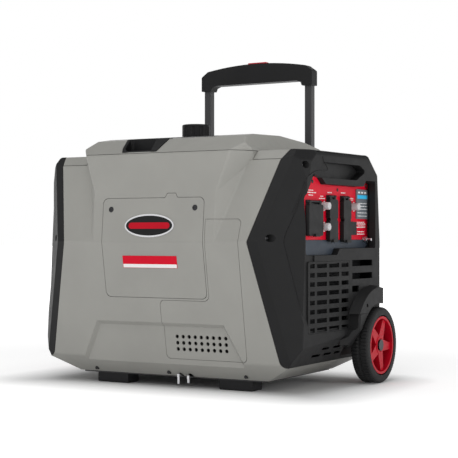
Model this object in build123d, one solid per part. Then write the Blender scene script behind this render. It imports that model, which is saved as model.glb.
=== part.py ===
from build123d import *
import math
import os

os.makedirs("parts", exist_ok=True)

# Wheeled inverter generator, millimetres.
# X runs along the length (+X is the control panel end), -Y is the front, Z is up from the ground.

SHIFT_Y = -4.5            # centres the overall depth on Y = 0

WALL = 3.0                # moulded panel thickness
SHUT = 0.5                # half of a shut line between two panels

FRONT = [(-150, 21), (-190, 60), (-229, 303), (-172, 466), (-148, 488)]
REAR = [(120, 488), (182, 432), (200, 303), (180, 60), (140, 21)]
HUMP = [(-229, 303), (-213, 485), (-160, 518), (-120, 524), (0, 528), (100, 520), (172, 504),
        (196, 466), (200, 303)]
HUMP_HALF = 204.0         # half length of the raised centre
TRAY_Z = 24.0             # top of the base plate

# seam between the painted centre and the black end caps, (|X|, Z)
SEAM = [(278.1, 55), (222, 303), (268, 466), (278, 488), (292, 540)]

AXLE_Y = 127.0
AXLE_Z = 81.4
TYRE_R = 81.4
TYRE_IN = 318.0           # inner sidewall
TYRE_OUT = 357.0          # outer sidewall
RIM_R = 61.5
AXLE_R = 8.0
RUN = 0.05                # running clearance on a shaft, radial

RAIL_X = 134.0            # handle legs each side of centre
TUBE = 18.0               # square handle tube
TUBE_Y = 227.0            # centre of the tubes
RAIL_TOP = 498.0
RAIL_FOOT = 62.0
GRIP_Z = 660.0            # underside of the grip's corner sockets
CRANK_Y = 20.0
CRANK_Z = 175.0

PLATE_X = 306.0           # face the control panel is screwed to
CAP_X = -45.0             # fuel cap centre
CAP_Y = 20.0


def save(name, shape):
    placed = Pos(0, SHIFT_Y, 0) * shape
    placed.label = name
    export_step(placed, f"parts/{name}.step")


def block(x0, x1, y0, y1, z0, z1, r=0.0, axis=Axis.Z):
    solid = Pos((x0 + x1) / 2, (y0 + y1) / 2, (z0 + z1) / 2) * Box(abs(x1 - x0), abs(y1 - y0), abs(z1 - z0))
    if r:
        solid = fillet(solid.edges().filter_by(axis), r)
    return solid


def rod(axis, a, b, u, v, r):
    # round bar along an axis from a to b; u and v are the two other coordinates in order
    length = b - a
    mid = (a + b) / 2
    if axis == "x":
        return Pos(mid, u, v) * Rot(0, 90, 0) * Cylinder(r, length)
    if axis == "y":
        return Pos(u, mid, v) * Rot(90, 0, 0) * Cylinder(r, length)
    return Pos(u, v, mid) * Cylinder(r, length)


def prism(points, direction, radii=None):
    # straight extrusion of a flat polygon, with chosen corners rounded
    face = Face(Wire.make_polygon([Vector(*p) for p in points], close=True))
    if radii:
        for p, r in zip(points, radii):
            if r:
                corner = min(face.vertices(), key=lambda v: (Vector(*v.to_tuple()) - Vector(*p)).length)
                face = face.fillet_2d(r, [corner])
    return Solid.extrude(face, Vector(*direction))


def prism_x(yz, x0, x1, radii=None):
    return prism([(x0, y, z) for y, z in yz], (x1 - x0, 0, 0), radii)


def prism_y(xz, y0, y1, radii=None):
    return prism([(x, y0, z) for x, z in xz], (0, y1 - y0, 0), radii)


def prism_z(xy, z0, z1, radii=None):
    return prism([(x, y, z0) for x, y in xy], (0, 0, z1 - z0), radii)


def inset(points, d):
    # moves every side of a closed outline inward by d (outward when d is negative)
    pairs = list(zip(points, points[1:] + points[:1]))
    turn = 1 if sum(p[0] * q[1] - q[0] * p[1] for p, q in pairs) > 0 else -1
    lines = []
    for p, q in pairs:
        nx, ny = turn * (q[1] - p[1]), turn * (p[0] - q[0])
        size = math.hypot(nx, ny)
        lines.append((nx / size, ny / size, (nx * p[0] + ny * p[1]) / size - d))
    out = []
    for (a, b, c), (e, f, g) in zip(lines[-1:] + lines[:-1], lines):
        det = a * f - b * e
        out.append(((c * f - b * g) / det, (a * g - c * e) / det))
    return out


def trimmed(solid, point, normal, depth=0.0):
    # removes everything beyond a plane that sits depth inside the given point
    n = Vector(*normal).normalized()
    origin = Vector(*point) - n * depth
    half_space = Box(2000, 2000, 2000, align=(Align.CENTER, Align.CENTER, Align.MIN))
    cutter = Plane(origin=origin, z_dir=n) * half_space
    return solid - cutter


def normal3(a, b, c, towards):
    n = (Vector(*b) - Vector(*a)).cross(Vector(*c) - Vector(*a)).normalized()
    return n if n.dot(Vector(*towards)) > 0 else n * -1


def softened(solid, picks):
    # rounds each picked edge that the shape allows; picks are (point on edge, radius)
    for point, radius in picks:
        target = Vector(*point)
        edge = min(solid.edges(), key=lambda e: e.distance_to(target))
        for r in (radius, radius * 0.6):
            try:
                trial = fillet([edge], r)
                if trial.is_valid and trial.volume > 0.8 * solid.volume:
                    solid = trial
                    break
            except Exception:
                continue
    return solid


# ---------------------------------------------------------------- outer form of the painted centre

def raised_centre(d):
    solid = prism_x(inset(HUMP, d), -HUMP_HALF + d, HUMP_HALF - d,
                    None if d else [0, 10, 8, 0, 0, 0, 8, 8, 0])
    for s in (1, -1):
        # shoulder down from the crown to the flat top
        n = normal3((s * 204, 0, 491), (s * 185, 0, 517), (s * 204, 50, 491), (s, 0, 0.5))
        solid = trimmed(solid, (s * 204, 0, 491), n.to_tuple(), d)
    for front in (True, False):
        for s in (1, -1):
            y = 1 if front else -0.86
            low = [(s * 147, -228 * y, 316), (s * 147, -221 * y, 402), (s * 176, -194 * y, 402)]
            high = [(s * 147, -221 * y, 402), (s * 177, -213 * y, 487), (s * 203, -168 * y, 477)]
            side = (s, -0.8 * y, 0)
            keep = None
            for plane in (low, high):
                n = normal3(*plane, side)
                piece = trimmed(solid, plane[0], n.to_tuple(), d)
                keep = piece if keep is None else keep + piece
            solid = keep
    return solid


def centre_form(d):
    profile = FRONT + REAR
    solid = prism_x(inset(profile, d), -305, 305, None if d else [8, 12, 10, 14, 10, 10, 14, 12, 12, 8])
    for s in (1, -1):
        n = normal3((s * 226, 0, 21), (s * 291, 0, 55), (s * 226, 50, 21), (s, 0, -1))
        solid = trimmed(solid, (s * 226, 0, 21), n.to_tuple(), d)
        solid = trimmed(solid, (s * 292, 0, 50), (s, 0, 0), d)
    return solid + raised_centre(d) - toe_recess(d)


def toe_recess(d):
    # shallow trapezoid pressed into the lower front, floor 8 mm back, bevelled edges
    solid = Pos(0, -240, 80) * Box(500, 200, 200)
    floor = Vector(0, 1, 0.1605).normalized()
    solid = trimmed(solid, (0, -182, 60), floor.to_tuple(), -d)
    solid = trimmed(solid, (0, -202.4, 137), (0, 0.8, 1), -d)
    for s in (1, -1):
        n = normal3((s * 155, -202.4, 137), (s * 207, -186, 37), (s * 148, -193, 134), (s, 0.5, 0.4))
        solid = trimmed(solid, (s * 155, -202.4, 137), n.to_tuple(), -d)
    return solid


def centre_zone(grow):
    right = [(x + grow, z) for x, z in SEAM]
    left = [(-x - grow, z) for x, z in reversed(SEAM)]
    corner = [16, 14, 16, 12, 0]
    radii = [0, 0] + corner + corner[::-1] + [0, 0]
    return prism_y([(300, 0), (300, 55)] + right + left + [(-300, 55), (-300, 0)], -300, 300, radii)


def rounded_chain(solid, points, radii):
    # rounds the edges whose middles lie nearest the points, with the largest radius that works
    for r in radii:
        edges = []
        for point in points:
            edge = min(solid.edges(), key=lambda e: (e @ 0.5 - Vector(*point)).length)
            if edge not in edges:
                edges.append(edge)
        try:
            trial = fillet(edges, r)
        except Exception:
            continue
        if trial.is_valid and abs(trial.volume - solid.volume) < 0.02 * solid.volume:
            return trial
    return solid


def rounded_centre():
    # the +X half is rounded along its ridges, then mirrored
    solid = centre_form(0)
    ridge = [(147.5, -224.5, 353), (161.5, -216.5, 441), (177.5, -211, 484), (188.5, -198.5, 494.5)]
    crest = [(191, -174.5, 509), (182, -139, 521), (178.5, -60, 526), (180, 50, 524)]
    solid = rounded_chain(solid, ridge, (6, 5, 4))
    solid = rounded_chain(solid, crest, (6, 5, 4))
    solid = rounded_chain(solid, [(169, -202.5, 378.5)], (8, 6, 4, 2))
    solid = rounded_chain(solid, [(204, -12, 491)], (6, 4, 2))
    solid = rounded_chain(solid, [(141, 199, 347), (149, 197, 428), (175, 184, 485)], (8, 6, 4))
    half = solid & block(0, 400, -400, 400, -10, 600)
    return half + mirror(half, Plane.YZ)


form_out = rounded_centre()
form_in = centre_form(WALL)
zone_in = centre_zone(-SHUT)
layer = (form_out - form_in) & zone_in
layer = layer - block(-320, 320, -300, 300, 0, TRAY_Z)

# ---------------------------------------------------------------- service door and vent panel outlines

DOOR = [(-124, 188), (122, 188), (122, 393), (58, 393), (54, 402), (33, 402), (29, 393), (-124, 393)]
DOOR_R = [12, 12, 12, 4, 3, 3, 4, 12]
VENT = [(8, 62), (203, 62), (203, 349), (122, 349), (122, 184), (8, 184)]
VENT_R = [10, 10, 10, 3, 6, 10]


def outline(points, radii, d):
    return prism_y(inset(points, d), -300, -140, radii)


door_hole = outline(DOOR, DOOR_R, -SHUT)
door_fill = outline(DOOR, DOOR_R, SHUT)
vent_hole = outline(VENT, VENT_R, 0.0)
vent_fill = outline(VENT, VENT_R, 0.8)

# the vent panel stops short of the door so each keeps its own edge
vent_hole = vent_hole - outline(DOOR, DOOR_R, -4.0)
vent_fill = vent_fill - outline(DOOR, DOOR_R, -4.8)

def cover_zone(gap):
    # everything above the shut line that runs along the crease at the foot of the top
    low, high, step = 468 + gap, 486 + gap, 204.5 + gap
    line = [(-300, low), (-step, low), (-step, high), (step, high), (step, low), (300, low), (300, 560),
            (-300, 560)]
    return prism_y(line, -300, 300)


top_cover = layer & cover_zone(SHUT)
layer = layer - cover_zone(-SHUT)
split = block(-330, 330, -300, 12, -5, 600)
front_shell = (layer & split) - door_hole - vent_hole
ledge_ring = outline(DOOR, DOOR_R, -7) - outline(DOOR, DOOR_R, 7)
ledge = ((form_in - centre_form(WALL + 3.0)) & ledge_ring) & block(-200, 200, -300, -140, 150, 420)
ledge = ledge - (door_hole - centre_form(WALL + 0.5))
vent_ring = (outline(VENT, VENT_R, -6) - outline(VENT, VENT_R, 5)) & block(-200, 230, -300, -140, 40, 360)
vent_ledge = ((form_in - centre_form(WALL + 2.0)) & vent_ring) - outline(DOOR, DOOR_R, -8)
front_shell = front_shell + ledge + vent_ledge

# black insert in the top: a flat tray behind the crest and a finger scoop over the front edge
TRAY = [(-106, -150), (100, -150), (100, 96), (-106, 96)]
SCOOP = [(-84, -240), (-2, -240), (-2, -208), (2, -146), (2, -120), (-106, -120), (-106, -158), (-95, -195),
         (-84, -212)]
SCOOP_R = [0, 0, 10, 0, 0, 0, 10, 20, 6]
WELL = [(-74, -240), (-16, -240), (-16, -206), (-32, -158), (-98, -158), (-88, -195), (-74, -208)]
WELL_R = [0, 0, 8, 8, 8, 14, 6]
tray_hole = prism_z(TRAY, 470, 560, [0, 10, 10, 10]) + prism_z(SCOOP, 489, 560, SCOOP_R)
top_cover = top_cover - tray_hole
save("top_cover", max(top_cover.solids(), key=lambda part: part.volume))
band_screws = [(-184, 31), (0, 31), (184, 31)]
for x, z in band_screws:
    front_shell = front_shell - rod("y", -175, -150, x, z, 4.0)
drain_x = [26.0, 50.0]
for x in drain_x:
    front_shell = front_shell - rod("y", -190, -140, x, 24, 7.0)
# small finger bevel under the scoop
front_shell = front_shell - prism_x([(-216, 480), (-209, 489), (-222, 489)], -76, -18)
save("front_shell", front_shell)

rear_shell = (layer - split) - tray_hole - block(-330, 330, 11.9, 13.0, -5, 600)
fan_slots = [(x, z) for x in range(-60, 61, 20) for z in (110, 126, 142, 158, 174)]
for x, z in fan_slots:
    rear_shell = rear_shell - block(x - 7, x + 7, 170, 210, z - 3, z + 3)
for z in (230, 246, 262):
    rear_shell = rear_shell - block(-40, 40, 170, 220, z - 3, z + 3)
save("rear_shell", rear_shell)

door = (form_out - form_in) & door_fill
LATCHES = [("door_latch_left", -103.6, 370.0), ("door_latch_right", 100.5, 372.0)]
lean = math.degrees(math.atan2(16, 182))


def on_door(x, z, depth=0.0):
    # frame lying on the upper face of the door, z axis pointing out of the front
    y = -229 + (z - 303) * 16 / 182
    n = Vector(0, -math.cos(math.radians(lean)), math.sin(math.radians(lean)))
    return Plane(origin=Vector(x, y, z) - n * depth, x_dir=(1, 0, 0), z_dir=n)


for name, x, z in LATCHES:
    frame = on_door(x, z)
    boss = frame * Pos(0, 0, -6.0) * Cylinder(9.0, 8)
    door = door + boss
    door = door - frame * Pos(0, 0, -1.2) * Cylinder(6.2, 6.4)
    door = door - frame * Pos(0, 0, -8) * Cylinder(3.6, 12)
# stiffening ribs along the inside
for x in (-90, 90):
    rib = block(x - 2, x + 2, -225, -200, 200, 380)
    door = door + (rib & form_in) - (rib & centre_form(12))
save("service_door", door & form_out)

for name, x, z in LATCHES:
    frame = on_door(x, z)
    head = frame * Pos(0, 0, -2.2) * Cylinder(5.8, 3.6)
    slot = frame * Pos(0, 0, -0.6) * Box(9.5, 1.8, 3.0)
    stem = frame * Pos(0, 0, -8.6) * Cylinder(3.2, 10.0)
    dog = frame * Pos(0, 3.5, -13.4) * Box(5, 14, 2.4)
    save(name, head - slot + stem + dog)

vent = (form_out - form_in) & vent_fill
for i in range(9):
    for j, z in enumerate((83.0, 96.0, 109.0)):
        vent = vent - rod("y", -240, -160, 95.5 + (i - 4) * 14.4, z, 4.0)
save("vent_panel", vent)

# badge above the door's middle and a label strip below it, both plain
badge_frame = on_door(-6.5, 336)
oval = [(60 * math.cos(math.radians(a)), 24 * math.sin(math.radians(a)), 0) for a in range(0, 360, 10)]
badge = badge_frame * prism(oval, (0, 0, 1.8))
save("badge_plate", badge)
ly = -229 + (303 - 262) * 39 / 243
strip_n = Vector(0, -243, -39).normalized()
strip_frame = Plane(origin=Vector(-8, ly, 262), x_dir=(1, 0, 0), z_dir=strip_n)
strip = strip_frame * Pos(0, 0, 0.4) * Box(132, 25, 0.8)
save("label_strip", strip)

tray_fit = prism_z(inset(TRAY, 0.6), 470, 560, [0, 10, 10, 10])
scoop_fit = prism_z(inset(SCOOP, 0.6), 489.6, 560, SCOOP_R)
tray = ((tray_fit + scoop_fit) & form_out) - centre_form(WALL)
front_part = block(-120, 30, -300, -148, 480, 560)
body = scoop_fit & form_out & front_part
lip = (scoop_fit - prism_z(WELL, 480, 560, WELL_R)) & centre_form(-1.6) & front_part
hollow = prism_z(WELL, 492, 560, WELL_R)
tray = tray + body + lip - hollow
tray = tray - rod("z", 480, 560, CAP_X, CAP_Y, 27.0)
tray_all = max(tray.solids(), key=lambda part: part.volume)
save("top_tray", tray_all)

# ---------------------------------------------------------------- base tray and feet

base_tray = prism_z([(-225, -149), (225, -149), (225, 139), (-225, 139)], 21, TRAY_Z)
for y in (-90, 0, 90):
    base_tray = base_tray + block(-215, 215, y - 3, y + 3, TRAY_Z, 36)
for s in (1, -1):
    # axle brackets and rubber mount pads
    bracket = block(s * 200 - 4, s * 200 + 4, AXLE_Y - 26, 138, TRAY_Z, AXLE_Z + 22)
    base_tray = base_tray + bracket
    base_tray = base_tray + rod("z", TRAY_Z, 48, s * 80, -60, 16) + rod("z", TRAY_Z, 48, s * 80, 90, 16)
base_tray = base_tray - rod("x", -300, 300, AXLE_Y, AXLE_Z, AXLE_R + 0.02)
save("base_tray", base_tray)

for name, s in (("foot_left", -1), ("foot_right", 1)):
    foot = block(s * 152 - 39, s * 152 + 39, -147, -107, 0, 21)
    foot = fillet(foot.edges().group_by(Axis.Z)[0], 3)
    foot = foot - block(s * 152 - 30, s * 152 + 30, -139, -115, 6, 22)
    foot = foot + rod("z", 5, 21, s * 152 - 18, -127, 7) + rod("z", 5, 21, s * 152 + 18, -127, 7)
    save(name, foot)

# ---------------------------------------------------------------- end caps

END_CORNER = (315.0, -153.5)   # front vertical corner of the end face; it leans out a little to the rear
END_N = Vector(283.5, -16, 0).normalized()


def end_form(d):
    # +X end cap as a convex form
    solid = Pos(240, 0, 260) * Box(220, 520, 480)
    solid = trimmed(solid, (331, 130, 0), END_N.to_tuple(), d)
    for a, b in (((291, 55), (326, 112)), ((226, 21), (291, 55))):
        n = normal3((a[0], 0, a[1]), (b[0], 0, b[1]), (a[0], 50, a[1]), (1, 0, -1))
        solid = trimmed(solid, (a[0], 0, a[1]), n.to_tuple(), d)
    solid = trimmed(solid, (0, 0, 488), (0, 0, 1), d)
    solid = trimmed(solid, (240, -148, 488), (0, -22, 24), d)
    cx, cy = END_CORNER
    front = [((222, -229, 303), (268, -172, 466), (243, -223, 303)),
             ((222, -229, 303), (277, -190, 60), (243, -223, 303)),
             ((243, -223, 303), (cx, cy, 303), (290, -168, 466)),
             ((243, -223, 303), (cx, cy, 303), (cx, cy - 16, 60))]
    rear = [((222, 200, 303), (258, 182, 432), (243, 196, 303)),
            ((222, 200, 303), (277, 180, 60), (243, 196, 303)),
            ((243, 196, 303), (331, 174, 303), (258, 182, 432)),
            ((243, 196, 303), (331, 174, 303), (331, 174, 60)),
            ((258, 182, 432), (258, 120, 488), (320, 182, 432))]
    for a, b, c in front:
        n = normal3(a, b, c, (0.5, -1, 0))
        solid = trimmed(solid, a, n.to_tuple(), d)
    for a, b, c in rear:
        n = normal3(a, b, c, (0.3, 1, 0.2))
        solid = trimmed(solid, a, n.to_tuple(), d)
    # facets that turn the upper front corner in towards the top
    for rise in (0.137, 0.58):
        solid = trimmed(solid, (306.3, -148.5, 466), (0.866, -0.5, rise), d)
    return solid


cap_out = end_form(0)
cap_out = softened(cap_out, [((315, -160, 200), 5), ((331, 174, 250), 10), ((331, 164, 446), 10),
                             ((331, 140, 470), 10), ((328, 30, 488), 12), ((243, -223, 200), 3),
                             ((285, -190, 390), 3), ((326, 0, 112), 6), ((315, -151, 350), 4),
                             ((322, -118, 470), 8), ((296, -143, 485), 8)])
cap_in = end_form(WALL)
cap_side = centre_zone(SHUT)
beyond = Pos(300, 0, 300) * Box(200, 600, 560)
beyond = beyond - cap_side - block(0, 400, -300, 300, 0, 55.6)
wheel_well = rod("x", 304, 400, AXLE_Y, AXLE_Z, 90)
well_skin = rod("x", 301, 400, AXLE_Y, AXLE_Z, 93)
below = block(296, 400, 38, 216, 0, AXLE_Z)
below_skin = block(293, 400, 35, 219, 0, AXLE_Z)

PANEL = [(-150, 276), (-26, 276), (-14, 289), (147, 289), (147, 433), (103, 433), (93, 420), (-73, 420),
         (-91, 433), (-118, 437), (-150, 392)]
PANEL_R = [8, 4, 3, 4, 6, 4, 4, 6, 6, 8, 16]
UNDERCUT = (140, 159, 292, 430)     # the pocket widens behind its rear edge: y0, y1, z0, z1
PULL = [(-112, 432), (60, 432), (104, 452), (74, 464), (-82, 464)]
PULL_R = [6, 10, 5, 8, 8]
# inner edge of the raised rim on the slanted front faces, (X, Z)
RIM_LINE = [(322, 449), (311, 429), (307, 405), (298, 366), (283, 318), (281, 303), (284, 288), (308.6, 170),
            (319.4, 117)]
GRILLE = [(-146, 120), (30, 120), (30, 264), (-146, 264)]


def wheel_leg():
    # flare that carries the line of the arch down and forward into the foot of the cap
    profile = [(28, 152.2), (26, 128), (12, 106), (-14, 96), (-14, 84), (150, 84), (150, 152.2)]
    leg = prism_x(profile, 318, 350)
    faces = (((350, 0, 152), (33, 0, -4)), ((346, 0, 119), (20, 0, -12)), ((350, 32, 152), (728, -424, -136)))
    for point, normal in faces:
        leg = trimmed(leg, point, normal)
    return leg - block(300, 360, 38, 216, 0, AXLE_Z) - block(300, 360, 80, 216, 0, 200)


def cap_shell(with_panel):
    shell = (cap_out - cap_in) & beyond
    shell = shell + wheel_leg()
    # pockets for the control panel, the carry grip and the wheel
    if with_panel:
        y0, y1, z0, z1 = UNDERCUT
        tub = prism_x(inset(PANEL, -WALL), PLATE_X - WALL, 345)
        tub = tub + block(PLATE_X - WALL, 321, y0, y1 + WALL, z0 - WALL, z1 + WALL)
        shell = shell + ((tub & cap_out) & beyond)
    shell = shell + ((prism_x(inset(PULL, -3), 306, 345, PULL_R) & cap_out) & beyond)
    shell = shell + (((well_skin + below_skin) & cap_out) & beyond)
    shell = shell - prism_x(PULL, 309, 345, PULL_R)
    # the slanted faces step down inside the rim
    rim_area = RIM_LINE + [(400, 117), (400, 449)]
    sunk = prism_y(rim_area, -300, -120, [0, 8, 0, 0, 10, 6, 10, 0, 0, 0, 0])
    backing = prism_y(inset(rim_area, -WALL), -300, -110)
    shell = shell + (((cap_in - end_form(2 * WALL)) & backing) & beyond)
    shell = shell - (sunk - end_form(WALL - 0.2))
    shell = shell - wheel_well - below
    shell = shell - rod("x", 280, 345, AXLE_Y, AXLE_Z, AXLE_R + 0.02)
    # joggled lip that reaches under the painted centre
    lip = (centre_form(WALL + 0.1) - centre_form(WALL + 2.5)) & (centre_zone(2) - centre_zone(-12))
    lip = lip & block(150, 330, -300, 300, 60, 484)
    return shell + lip


cap_right = cap_shell(True)
cap_plain = cap_shell(False)


def cap_slots(shell):
    for z in (86, 73):
        spans = ((-71, -38), (-19, 15)) if z == 86 else ((-103, -66), (-48, -14), (0, 30))
        for y0, y1 in spans:
            shell = shell - block(280, 345, y0, y1, z - 2.5, z + 2.5)
    return shell


cap_right = cap_slots(cap_right)
cap_right = cap_right - prism_x(PANEL, PLATE_X, 345, PANEL_R)
cap_right = cap_right - block(PLATE_X, 318, *UNDERCUT)
# openings through the back of the panel pocket for wiring and switch bodies
for y0, y1, z0, z1 in ((-140, -87, 320, 372), (-46, -16, 308, 382), (21, 49, 308, 382),
                       (-74.5, -55.5, 324, 386), (66, 90, 316, 386)):
    cap_right = cap_right - block(PLATE_X - 5, PLATE_X + 1, y0, y1, z0, z1)
cap_right = cap_right - prism_x(GRILLE, 300, 345, [6, 6, 6, 6])
grille_back = prism_x(inset(GRILLE, -5), 305, 345) & (cap_in - end_form(WALL + 2.5))
grille_back = grille_back - prism_x(inset(GRILLE, 6), 300, 345)
cap_right = cap_right + grille_back
for z in (258, 231, 204):
    cap_right = cap_right - block(310, 345, 40, 132 if z > 210 else 70, z - 6.5, z + 6.5)
SCREWS = [(310.0, -145.0, 456.5), (263.0, -204.0, 310.5)]


def cap_screw_holes(shell):
    for x, y, z in SCREWS:
        pocket = rod("x", x - 16, 345, y, z, 10.5) & cap_out
        shell = shell + pocket - rod("x", x - 13, 345, y, z, 7.5) - rod("x", x - 20, 345, y, z, 3.0)
    return shell


cap_right = cap_screw_holes(cap_right)
save("right_end_cap", cap_right)

left = cap_screw_holes(cap_slots(cap_plain))
LOUVRE = [(-120, 150), (60, 150), (60, 400), (-120, 400)]
left = left - prism_x(LOUVRE, 300, 345, [10, 10, 10, 10])
louvre_back = prism_x(inset(LOUVRE, -5), 300, 345) & (cap_in - end_form(WALL + 2.5))
louvre_back = louvre_back - prism_x(inset(LOUVRE, 6), 300, 345)
left = left + louvre_back
save("left_end_cap", mirror(left, Plane.YZ))

grille = prism_x(inset(GRILLE, 0.6), 300, 345, [6, 6, 6, 6]) & (cap_out - cap_in)
columns = ((-138, -119), (-110, -69), (-60, -17), (-7, 24))
for i in range(8):
    z = 255 - 18.3 * i
    for y0, y1 in columns:
        grille = grille - block(300, 345, y0, y1, z - 4.5, z + 4.5)
save("right_grille", grille)

louvre = prism_x(inset(LOUVRE, 0.6), 300, 345, [10, 10, 10, 10]) & (cap_out - cap_in)
for i in range(11):
    z = 170 + 21 * i
    if 205 < z < 300:
        louvre = louvre - block(300, 345, -108, -58, z - 5, z + 5) - block(300, 345, 22, 50, z - 5, z + 5)
    else:
        louvre = louvre - block(300, 345, -108, -34, z - 5, z + 5) - block(300, 345, -26, 48, z - 5, z + 5)
louvre = louvre - rod("x", 300, 345, -18, 252, 27)
save("left_louvre", mirror(louvre, Plane.YZ))

# ---------------------------------------------------------------- wheels, axle and fenders



SEAM_Z = 152.5            # the arch is a separate piece above this height


def fender():
    arch = Pos(338.5, AXLE_Y, AXLE_Z) * Rot(0, 90, 0) * Cone(129, 123.5, 23)
    arch = arch - rod("x", 320, 352, AXLE_Y, AXLE_Z, 90.5) - block(320, 352, 148, 300, -60, 300)
    arch = arch - block(320, 352, -100, 300, -60, SEAM_Z + 0.3)
    arch = arch - (cap_out - well_skin) - rod("x", 300, 345, AXLE_Y, AXLE_Z, 90.5)
    # small screw that holds the arch to the case
    arch = arch - rod("x", 345, 352, 64.5, 169, 4)
    return arch - cap_plain


arch = fender()
arch = max(arch.solids(), key=lambda s: s.volume)
save("fender_right", arch)
save("fender_left", mirror(arch, Plane.YZ))


def tyre():
    mid = (TYRE_IN + TYRE_OUT) / 2
    half = (TYRE_OUT - TYRE_IN) / 2
    section = [(-half + 1, RIM_R), (half - 2, RIM_R), (half - 2, 64), (half, 66), (half, 75), (half - 1.5, 79),
               (half - 5, TYRE_R), (-half + 5, TYRE_R), (-half + 1.5, 79), (-half, 75), (-half, 64)]
    face = Face(Wire.make_polygon([Vector(mid + a, 0, r) for a, r in section], close=True))
    ring = Solid.revolve(face, 360, Axis((0, 0, 0), (1, 0, 0)))
    ring = Pos(0, AXLE_Y, AXLE_Z) * ring
    for a in range(0, 360, 12):
        c, s = math.cos(math.radians(a)), math.sin(math.radians(a))
        lug = Pos(mid, AXLE_Y + c * (TYRE_R + 1), AXLE_Z + s * (TYRE_R + 1)) * Rot(a, 0, 0)
        for side in (-1, 1):
            ring = ring - lug * Pos(side * 12, 0, 0) * Rot(0, side * 20, 0) * Box(14, 4.4, 4.0)
    return ring


def rim():
    hub = rod("x", TYRE_IN + 1, TYRE_OUT - 5, 0, 0, 19)
    rim_band = rod("x", TYRE_IN + 1, TYRE_OUT - 1, 0, 0, RIM_R) - rod("x", 300, 370, 0, 0, RIM_R - 5)
    flange = rod("x", TYRE_OUT - 2, TYRE_OUT + 1, 0, 0, RIM_R + 2) - rod("x", 300, 370, 0, 0, RIM_R - 5)
    web = rod("x", 328, 331, 0, 0, RIM_R - 2)
    body = hub + rim_band + web
    for i in range(5):
        turn = 72 * i - 24
        spoke = prism_x([(-12, 15), (-6.5, RIM_R - 3), (6.5, RIM_R - 3), (12, 15)], 329, 351)
        body = body + Rot(turn, 0, 0) * spoke
        outline = [(-9, 27), (-21, 46), (-17, 53), (17, 53), (21, 46), (9, 27)]
        window = prism_x(outline, 316, 336, [3, 4, 4, 4, 4, 3])
        body = body - Rot(turn + 36, 0, 0) * window
    body = body - rod("x", 300, 370, 0, 0, AXLE_R + RUN)
    body = body - rod("x", TYRE_OUT - 6.5, 370, 0, 0, 15)
    return Pos(0, AXLE_Y, AXLE_Z) * body


ring = tyre()
wheel = rim()
save("tyre_right", ring)
save("tyre_left", mirror(ring, Plane.YZ))
save("rim_right", wheel)
save("rim_left", mirror(wheel, Plane.YZ))
axle = rod("x", -353, 353, AXLE_Y, AXLE_Z, AXLE_R)
for a in (304.0, -318.0):
    # shoulder rings that keep the wheels off the body
    axle = axle + rod("x", a, a + 14.0, AXLE_Y, AXLE_Z, 14)
save("axle", axle)
washer = rod("x", 351.0, 354.5, AXLE_Y, AXLE_Z, 12) - rod("x", 340, 353.0, AXLE_Y, AXLE_Z, AXLE_R)
save("axle_washers", washer + mirror(washer, Plane.YZ))

# ---------------------------------------------------------------- telescoping handle

OUTER = TUBE + 6.0
rail = block(RAIL_X - OUTER / 2, RAIL_X + OUTER / 2, TUBE_Y - OUTER / 2, TUBE_Y + OUTER / 2,
             RAIL_FOOT, RAIL_TOP)
web_side = [(181, RAIL_FOOT), (TUBE_Y - 8, RAIL_FOOT), (TUBE_Y - 8, 480), (180, 480)]
web_back = prism_x(web_side, RAIL_X - 9, RAIL_X + 9)
web_back = web_back - form_out
collar = block(RAIL_X - 17, RAIL_X + 17, TUBE_Y - 14, TUBE_Y + OUTER / 2, RAIL_TOP - 22, RAIL_TOP, 3)
rail = rail + web_back + collar
BORE = TUBE + 1.0
rail = rail - block(RAIL_X - BORE / 2, RAIL_X + BORE / 2, TUBE_Y - BORE / 2, TUBE_Y + BORE / 2,
                    RAIL_FOOT + 4, RAIL_TOP + 1)
rail = max(rail.solids(), key=lambda s: s.volume)
save("rail_right", rail)
save("rail_left", mirror(rail, Plane.YZ))

TUBE_FOOT = 232.0
leg = block(RAIL_X - TUBE / 2, RAIL_X + TUBE / 2, TUBE_Y - TUBE / 2, TUBE_Y + TUBE / 2,
            TUBE_FOOT, GRIP_Z + 26, 2.5)
leg = leg - block(RAIL_X - 6, RAIL_X + 6, TUBE_Y - 6, TUBE_Y + 6, TUBE_FOOT - 1, GRIP_Z - 6)
crossbar = block(-RAIL_X, RAIL_X, TUBE_Y - 5, TUBE_Y + 5, 677, 685)
frame = leg + mirror(leg, Plane.YZ) + crossbar
save("handle_frame", frame)


def arch_z(x):
    return 718 - 15 * (x / 147.0) ** 2


GRIP_D = 15.0
upper_line = [(x, arch_z(x)) for x in range(-130, 131, 20)]
body_pts = [(-147, GRIP_Z), (-121, GRIP_Z), (-118, 668), (-108, 672), (108, 672), (118, 668), (121, GRIP_Z),
            (147, GRIP_Z), (147, 694), (135, 702.5)] + upper_line[::-1] + [(-135, 702.5), (-147, 694)]
grip_radii = [2, 2, 3, 6, 6, 3, 2, 2, 5, 5] + [0] * len(upper_line) + [5, 5]
grip = prism_y(body_pts, TUBE_Y - GRIP_D, TUBE_Y + GRIP_D - 3, grip_radii)
grip = grip - block(RAIL_X - 9.02, RAIL_X + 9.02, TUBE_Y - 9.02, TUBE_Y + 9.02, 650, GRIP_Z + 26)
grip = grip - block(-RAIL_X - 9.02, -RAIL_X + 9.02, TUBE_Y - 9.02, TUBE_Y + 9.02, 650, GRIP_Z + 26)
grip = grip - block(-RAIL_X, RAIL_X, TUBE_Y - 5.02, TUBE_Y + 5.02, 676.98, 685.02)
button_hole = block(-25, 25, TUBE_Y - 8.5, TUBE_Y + 6.5, 692, 730)
lower_zone = block(-200, 200, 150, 300, 600, 690)
grip_lower = grip & lower_zone
grip_upper = (grip - lower_zone) - button_hole
grip_lower = grip_lower - block(-25, 25, TUBE_Y - 8.5, TUBE_Y + 6.5, 689, 695)
save("grip_lower", grip_lower)
save("grip_upper", grip_upper)
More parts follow.
